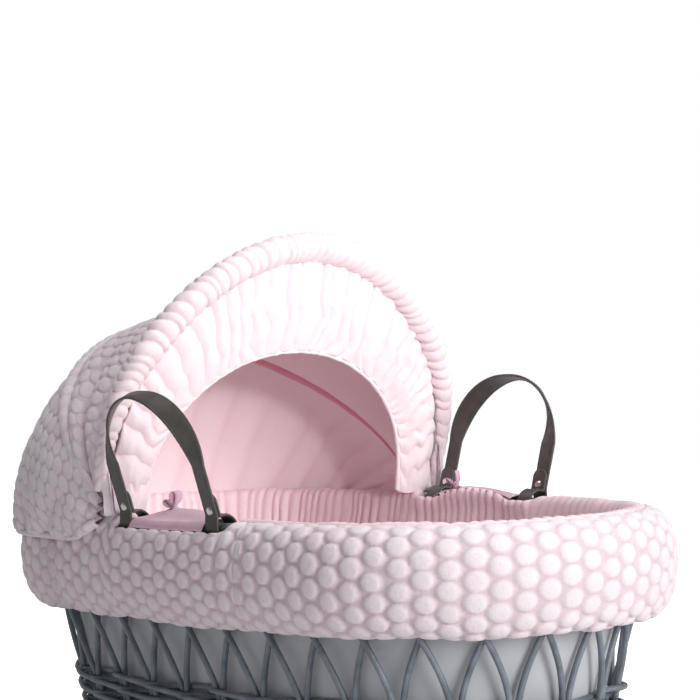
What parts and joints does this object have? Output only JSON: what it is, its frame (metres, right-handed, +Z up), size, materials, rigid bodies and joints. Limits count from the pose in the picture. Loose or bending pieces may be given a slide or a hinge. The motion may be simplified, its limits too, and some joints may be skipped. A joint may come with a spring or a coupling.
{
  "type": "moses basket",
  "caption": "Oval woven willow moses basket with flared lattice sides, a padded fleece dressing, swinging strap handles and a gathered folding hood on wire hoops.",
  "frame": {"origin": "centre of the base board's underside, where the basket stands", "axes": "+X towards the foot end, -X towards the hood, +Z up"},
  "size_m": [0.8151, 0.4816, 0.5148],
  "materials": {
    "willow": "willow rods painted slate grey, slight gloss",
    "board": "plain plywood",
    "fleece": "short-pile fleece with raised bubbles",
    "lining": "smooth brushed cotton, gathered",
    "cotton": "plain white cotton",
    "trim_cloth": "thin cotton ribbon",
    "elastic": "covered elastic cord",
    "leatherette": "stitched leatherette strap, fine grain",
    "nickel": "nickel plated",
    "hoop_steel": "drawn wire rod",
    "clip_plastic": "moulded clip"
  },
  "bodies": {
    "basket": {"base_board": "board", "stakes_front": "willow", "stakes_back": "willow", "weave_round_1": "willow", "weave_round_2": "willow", "weave_round_3": "willow", "upper_wale": "willow", "top_border": "willow", "liner_base": "cotton", "liner_backing": "cotton", "liner_wall": "lining", "mattress": "cotton", "bumper_skirt": "fleece", "skirt_elastic": "elastic", "slot_facing_near": "trim_cloth", "slot_facing_far": "trim_cloth", "ribbon_tie_near": "trim_cloth", "ribbon_tie_far": "trim_cloth", "hood_bracket_near": "clip_plastic", "hood_bracket_far": "clip_plastic", "hood_pivot_pins": "nickel", "hood_back_panel": "fleece", "hood_back_lining": "lining", "hood_hem_elastic": "elastic"},
    "handle_near": {"handle_strap_near": "leatherette", "handle_rivets_near": "nickel"},
    "handle_far": {"handle_strap_far": "leatherette", "handle_rivets_far": "nickel"},
    "hood_rear_frame": {"hood_rear_hoop": "hoop_steel", "hood_rear_casing": "lining", "hood_front_panel": "fleece", "hood_front_lining": "lining"},
    "hood_front_frame": {"hood_front_hoop": "hoop_steel", "hood_edge_roll": "fleece", "hood_visor": "fleece", "visor_elastic": "elastic"}
  },
  "joints": [
    {"name": "handle_near_swing", "type": "hinge", "parent": "basket", "child": "handle_near", "pos_m": [0.015, -0.18805, 0.245], "axis": [1, 0, 0], "range_deg": [-80, 54]},
    {"name": "handle_far_swing", "type": "hinge", "parent": "basket", "child": "handle_far", "pos_m": [0.015, 0.18805, 0.245], "axis": [-1, 0, 0], "range_deg": [-80, 54]},
    {"name": "hood_fold", "type": "hinge", "parent": "basket", "child": "hood_rear_frame", "pos_m": [-0.095, 0, 0.262], "axis": [0, -1, 0], "range_deg": [0, 26], "deforming": ["hood_back_panel", "hood_back_lining"]},
    {"name": "hood_front_fold", "type": "hinge", "parent": "hood_rear_frame", "child": "hood_front_frame", "pos_m": [-0.095, 0, 0.262], "axis": [0, -1, 0], "range_deg": [0, 48], "deforming": ["hood_front_panel", "hood_front_lining"]}
  ],
  "couplings": [
    {"joint": "hood_front_fold", "follows": "hood_fold", "ratio": 1.846}
  ]
}
